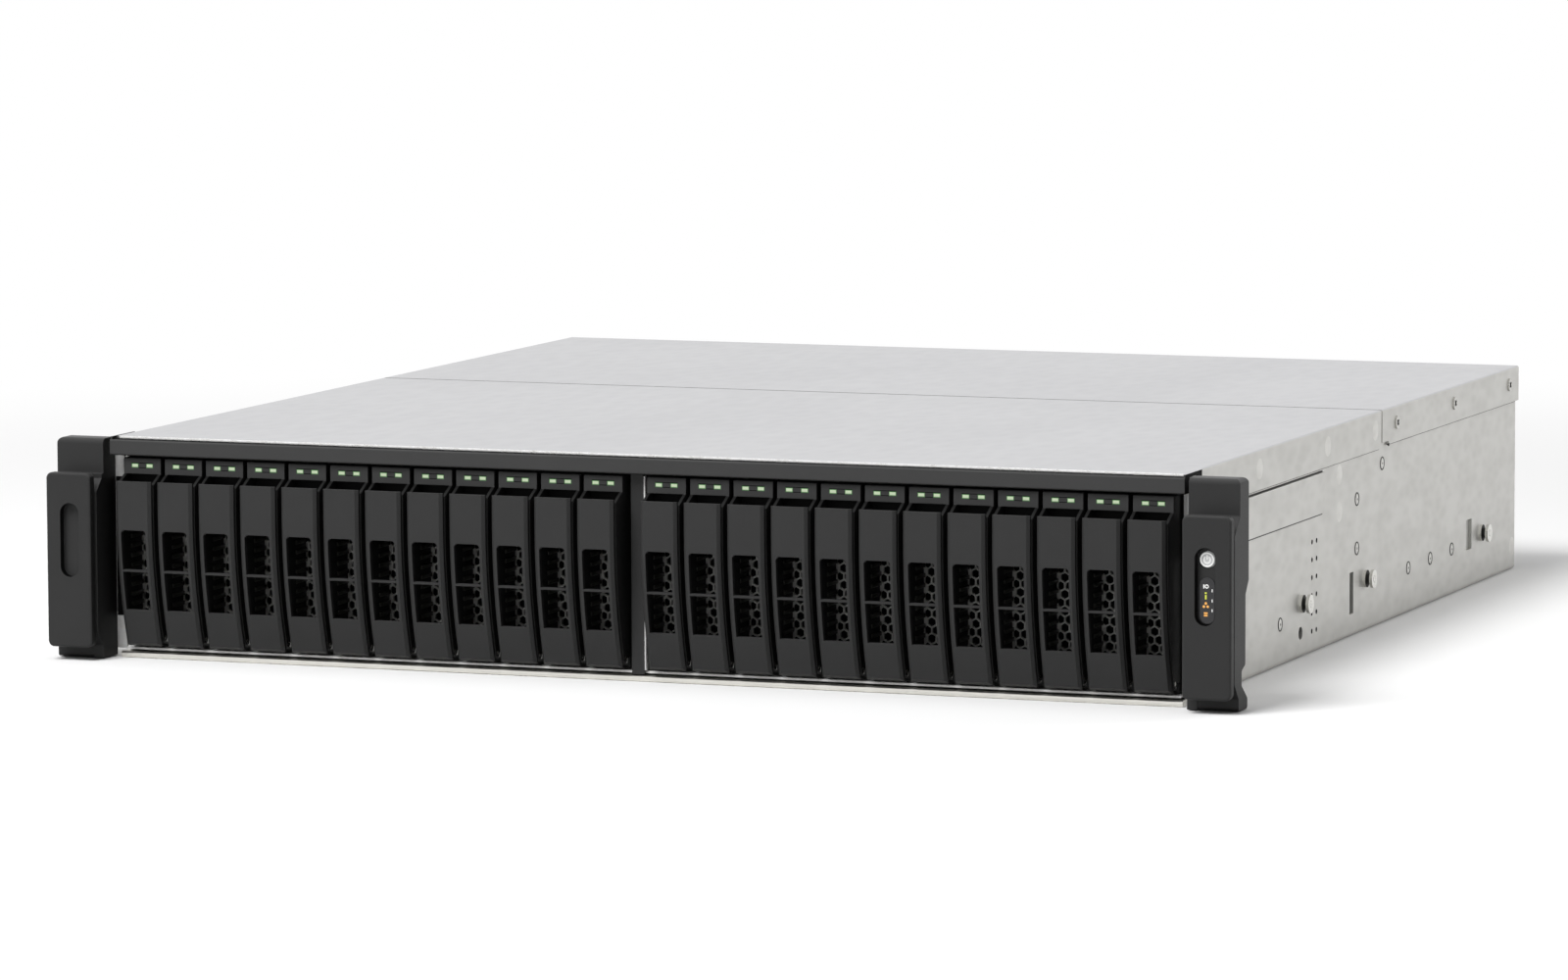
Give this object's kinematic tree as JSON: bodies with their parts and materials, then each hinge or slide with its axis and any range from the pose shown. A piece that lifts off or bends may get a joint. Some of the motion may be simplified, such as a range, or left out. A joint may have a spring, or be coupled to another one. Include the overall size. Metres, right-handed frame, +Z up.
{
  "type": "rack storage server chassis",
  "caption": "Two-unit 19-inch rack storage chassis with two banks of slim hot-swap drive trays, levers, rack ears and a slide-out power supply.",
  "frame": {"origin": "on the underside, under the middle of the whole chassis", "axes": "+X to the right as seen from the front, +Y to the rear, +Z up"},
  "size_m": [0.4826, 0.498, 0.087],
  "materials": {
    "galvanised_steel": "galvanised, faint spangle",
    "cover_steel": "satin light grey",
    "trim_plastic": "fine moulded grain",
    "ear_plastic": "fine moulded grain",
    "tray_plastic": "fine moulded grain",
    "lever_plastic": "fine moulded grain",
    "button_plastic": "translucent light grey",
    "board_laminate": "green solder mask",
    "fan_plastic": "moulded",
    "supply_case": "plated sheet"
  },
  "bodies": {
    "chassis": {"chassis_pan": "galvanised_steel", "drive_cage": "galvanised_steel", "front_top_cover": "cover_steel", "front_trim": "trim_plastic", "left_ear": "ear_plastic", "right_ear": "ear_plastic", "drive_backplane": "board_laminate", "fan_wall": "fan_plastic", "main_board": "board_laminate"},
    "rear_cover": {"rear_top_cover": "cover_steel"},
    "power_button": {"power_button": "button_plastic"},
    "power_supply": {"power_supply": "supply_case"},
    "tray_01": {"drive_tray_01": "tray_plastic"},
    "lever_01": {"tray_lever_01": "lever_plastic"},
    "tray_02": {"drive_tray_02": "tray_plastic"},
    "lever_02": {"tray_lever_02": "lever_plastic"},
    "tray_03": {"drive_tray_03": "tray_plastic"},
    "lever_03": {"tray_lever_03": "lever_plastic"},
    "tray_04": {"drive_tray_04": "tray_plastic"},
    "lever_04": {"tray_lever_04": "lever_plastic"},
    "tray_05": {"drive_tray_05": "tray_plastic"},
    "lever_05": {"tray_lever_05": "lever_plastic"},
    "tray_06": {"drive_tray_06": "tray_plastic"},
    "lever_06": {"tray_lever_06": "lever_plastic"},
    "tray_07": {"drive_tray_07": "tray_plastic"},
    "lever_07": {"tray_lever_07": "lever_plastic"},
    "tray_08": {"drive_tray_08": "tray_plastic"},
    "lever_08": {"tray_lever_08": "lever_plastic"},
    "tray_09": {"drive_tray_09": "tray_plastic"},
    "lever_09": {"tray_lever_09": "lever_plastic"},
    "tray_10": {"drive_tray_10": "tray_plastic"},
    "lever_10": {"tray_lever_10": "lever_plastic"},
    "tray_11": {"drive_tray_11": "tray_plastic"},
    "lever_11": {"tray_lever_11": "lever_plastic"},
    "tray_12": {"drive_tray_12": "tray_plastic"},
    "lever_12": {"tray_lever_12": "lever_plastic"},
    "tray_13": {"drive_tray_13": "tray_plastic"},
    "lever_13": {"tray_lever_13": "lever_plastic"},
    "tray_14": {"drive_tray_14": "tray_plastic"},
    "lever_14": {"tray_lever_14": "lever_plastic"},
    "tray_15": {"drive_tray_15": "tray_plastic"},
    "lever_15": {"tray_lever_15": "lever_plastic"},
    "tray_16": {"drive_tray_16": "tray_plastic"},
    "lever_16": {"tray_lever_16": "lever_plastic"},
    "tray_17": {"drive_tray_17": "tray_plastic"},
    "lever_17": {"tray_lever_17": "lever_plastic"},
    "tray_18": {"drive_tray_18": "tray_plastic"},
    "lever_18": {"tray_lever_18": "lever_plastic"},
    "tray_19": {"drive_tray_19": "tray_plastic"},
    "lever_19": {"tray_lever_19": "lever_plastic"},
    "tray_20": {"drive_tray_20": "tray_plastic"},
    "lever_20": {"tray_lever_20": "lever_plastic"},
    "tray_21": {"drive_tray_21": "tray_plastic"},
    "lever_21": {"tray_lever_21": "lever_plastic"},
    "tray_22": {"drive_tray_22": "tray_plastic"},
    "lever_22": {"tray_lever_22": "lever_plastic"},
    "tray_23": {"drive_tray_23": "tray_plastic"},
    "lever_23": {"tray_lever_23": "lever_plastic"},
    "tray_24": {"drive_tray_24": "tray_plastic"},
    "lever_24": {"tray_lever_24": "lever_plastic"}
  },
  "joints": [
    {"name": "rear_cover_slide", "type": "slide", "parent": "chassis", "child": "rear_cover", "axis": [0, 1, 0], "range_m": [0, 0.21]},
    {"name": "power_button_press", "type": "slide", "parent": "chassis", "child": "power_button", "axis": [0, 1, 0], "range_m": [0, 0.001], "stiffness_N_per_m": 400},
    {"name": "power_supply_slide", "type": "slide", "parent": "chassis", "child": "power_supply", "axis": [0, 1, 0], "range_m": [0, 0.2]},
    {"name": "tray_01_slide", "type": "slide", "parent": "chassis", "child": "tray_01", "axis": [0, -1, 0], "range_m": [0, 0.128]},
    {"name": "lever_01_hinge", "type": "hinge", "parent": "tray_01", "child": "lever_01", "pos_m": [-0.20655, -0.23218, 0.0086], "axis": [1, 0, 0], "range_deg": [0, 50]},
    {"name": "tray_02_slide", "type": "slide", "parent": "chassis", "child": "tray_02", "axis": [0, -1, 0], "range_m": [0, 0.128]},
    {"name": "lever_02_hinge", "type": "hinge", "parent": "tray_02", "child": "lever_02", "pos_m": [-0.18895, -0.23218, 0.0086], "axis": [1, 0, 0], "range_deg": [0, 50]},
    {"name": "tray_03_slide", "type": "slide", "parent": "chassis", "child": "tray_03", "axis": [0, -1, 0], "range_m": [0, 0.128]},
    {"name": "lever_03_hinge", "type": "hinge", "parent": "tray_03", "child": "lever_03", "pos_m": [-0.17135, -0.23218, 0.0086], "axis": [1, 0, 0], "range_deg": [0, 50]},
    {"name": "tray_04_slide", "type": "slide", "parent": "chassis", "child": "tray_04", "axis": [0, -1, 0], "range_m": [0, 0.128]},
    {"name": "lever_04_hinge", "type": "hinge", "parent": "tray_04", "child": "lever_04", "pos_m": [-0.15375, -0.23218, 0.0086], "axis": [1, 0, 0], "range_deg": [0, 50]},
    {"name": "tray_05_slide", "type": "slide", "parent": "chassis", "child": "tray_05", "axis": [0, -1, 0], "range_m": [0, 0.128]},
    {"name": "lever_05_hinge", "type": "hinge", "parent": "tray_05", "child": "lever_05", "pos_m": [-0.13615, -0.23218, 0.0086], "axis": [1, 0, 0], "range_deg": [0, 50]},
    {"name": "tray_06_slide", "type": "slide", "parent": "chassis", "child": "tray_06", "axis": [0, -1, 0], "range_m": [0, 0.128]},
    {"name": "lever_06_hinge", "type": "hinge", "parent": "tray_06", "child": "lever_06", "pos_m": [-0.11855, -0.23218, 0.0086], "axis": [1, 0, 0], "range_deg": [0, 50]},
    {"name": "tray_07_slide", "type": "slide", "parent": "chassis", "child": "tray_07", "axis": [0, -1, 0], "range_m": [0, 0.128]},
    {"name": "lever_07_hinge", "type": "hinge", "parent": "tray_07", "child": "lever_07", "pos_m": [-0.10095, -0.23218, 0.0086], "axis": [1, 0, 0], "range_deg": [0, 50]},
    {"name": "tray_08_slide", "type": "slide", "parent": "chassis", "child": "tray_08", "axis": [0, -1, 0], "range_m": [0, 0.128]},
    {"name": "lever_08_hinge", "type": "hinge", "parent": "tray_08", "child": "lever_08", "pos_m": [-0.08335, -0.23218, 0.0086], "axis": [1, 0, 0], "range_deg": [0, 50]},
    {"name": "tray_09_slide", "type": "slide", "parent": "chassis", "child": "tray_09", "axis": [0, -1, 0], "range_m": [0, 0.128]},
    {"name": "lever_09_hinge", "type": "hinge", "parent": "tray_09", "child": "lever_09", "pos_m": [-0.06575, -0.23218, 0.0086], "axis": [1, 0, 0], "range_deg": [0, 50]},
    {"name": "tray_10_slide", "type": "slide", "parent": "chassis", "child": "tray_10", "axis": [0, -1, 0], "range_m": [0, 0.128]},
    {"name": "lever_10_hinge", "type": "hinge", "parent": "tray_10", "child": "lever_10", "pos_m": [-0.04815, -0.23218, 0.0086], "axis": [1, 0, 0], "range_deg": [0, 50]},
    {"name": "tray_11_slide", "type": "slide", "parent": "chassis", "child": "tray_11", "axis": [0, -1, 0], "range_m": [0, 0.128]},
    {"name": "lever_11_hinge", "type": "hinge", "parent": "tray_11", "child": "lever_11", "pos_m": [-0.03055, -0.23218, 0.0086], "axis": [1, 0, 0], "range_deg": [0, 50]},
    {"name": "tray_12_slide", "type": "slide", "parent": "chassis", "child": "tray_12", "axis": [0, -1, 0], "range_m": [0, 0.128]},
    {"name": "lever_12_hinge", "type": "hinge", "parent": "tray_12", "child": "lever_12", "pos_m": [-0.01295, -0.23218, 0.0086], "axis": [1, 0, 0], "range_deg": [0, 50]},
    {"name": "tray_13_slide", "type": "slide", "parent": "chassis", "child": "tray_13", "axis": [0, -1, 0], "range_m": [0, 0.128]},
    {"name": "lever_13_hinge", "type": "hinge", "parent": "tray_13", "child": "lever_13", "pos_m": [0.01295, -0.23218, 0.0086], "axis": [1, 0, 0], "range_deg": [0, 50]},
    {"name": "tray_14_slide", "type": "slide", "parent": "chassis", "child": "tray_14", "axis": [0, -1, 0], "range_m": [0, 0.128]},
    {"name": "lever_14_hinge", "type": "hinge", "parent": "tray_14", "child": "lever_14", "pos_m": [0.03055, -0.23218, 0.0086], "axis": [1, 0, 0], "range_deg": [0, 50]},
    {"name": "tray_15_slide", "type": "slide", "parent": "chassis", "child": "tray_15", "axis": [0, -1, 0], "range_m": [0, 0.128]},
    {"name": "lever_15_hinge", "type": "hinge", "parent": "tray_15", "child": "lever_15", "pos_m": [0.04815, -0.23218, 0.0086], "axis": [1, 0, 0], "range_deg": [0, 50]},
    {"name": "tray_16_slide", "type": "slide", "parent": "chassis", "child": "tray_16", "axis": [0, -1, 0], "range_m": [0, 0.128]},
    {"name": "lever_16_hinge", "type": "hinge", "parent": "tray_16", "child": "lever_16", "pos_m": [0.06575, -0.23218, 0.0086], "axis": [1, 0, 0], "range_deg": [0, 50]},
    {"name": "tray_17_slide", "type": "slide", "parent": "chassis", "child": "tray_17", "axis": [0, -1, 0], "range_m": [0, 0.128]},
    {"name": "lever_17_hinge", "type": "hinge", "parent": "tray_17", "child": "lever_17", "pos_m": [0.08335, -0.23218, 0.0086], "axis": [1, 0, 0], "range_deg": [0, 50]},
    {"name": "tray_18_slide", "type": "slide", "parent": "chassis", "child": "tray_18", "axis": [0, -1, 0], "range_m": [0, 0.128]},
    {"name": "lever_18_hinge", "type": "hinge", "parent": "tray_18", "child": "lever_18", "pos_m": [0.10095, -0.23218, 0.0086], "axis": [1, 0, 0], "range_deg": [0, 50]},
    {"name": "tray_19_slide", "type": "slide", "parent": "chassis", "child": "tray_19", "axis": [0, -1, 0], "range_m": [0, 0.128]},
    {"name": "lever_19_hinge", "type": "hinge", "parent": "tray_19", "child": "lever_19", "pos_m": [0.11855, -0.23218, 0.0086], "axis": [1, 0, 0], "range_deg": [0, 50]},
    {"name": "tray_20_slide", "type": "slide", "parent": "chassis", "child": "tray_20", "axis": [0, -1, 0], "range_m": [0, 0.128]},
    {"name": "lever_20_hinge", "type": "hinge", "parent": "tray_20", "child": "lever_20", "pos_m": [0.13615, -0.23218, 0.0086], "axis": [1, 0, 0], "range_deg": [0, 50]},
    {"name": "tray_21_slide", "type": "slide", "parent": "chassis", "child": "tray_21", "axis": [0, -1, 0], "range_m": [0, 0.128]},
    {"name": "lever_21_hinge", "type": "hinge", "parent": "tray_21", "child": "lever_21", "pos_m": [0.15375, -0.23218, 0.0086], "axis": [1, 0, 0], "range_deg": [0, 50]},
    {"name": "tray_22_slide", "type": "slide", "parent": "chassis", "child": "tray_22", "axis": [0, -1, 0], "range_m": [0, 0.128]},
    {"name": "lever_22_hinge", "type": "hinge", "parent": "tray_22", "child": "lever_22", "pos_m": [0.17135, -0.23218, 0.0086], "axis": [1, 0, 0], "range_deg": [0, 50]},
    {"name": "tray_23_slide", "type": "slide", "parent": "chassis", "child": "tray_23", "axis": [0, -1, 0], "range_m": [0, 0.128]},
    {"name": "lever_23_hinge", "type": "hinge", "parent": "tray_23", "child": "lever_23", "pos_m": [0.18895, -0.23218, 0.0086], "axis": [1, 0, 0], "range_deg": [0, 50]},
    {"name": "tray_24_slide", "type": "slide", "parent": "chassis", "child": "tray_24", "axis": [0, -1, 0], "range_m": [0, 0.128]},
    {"name": "lever_24_hinge", "type": "hinge", "parent": "tray_24", "child": "lever_24", "pos_m": [0.20655, -0.23218, 0.0086], "axis": [1, 0, 0], "range_deg": [0, 50]}
  ]
}
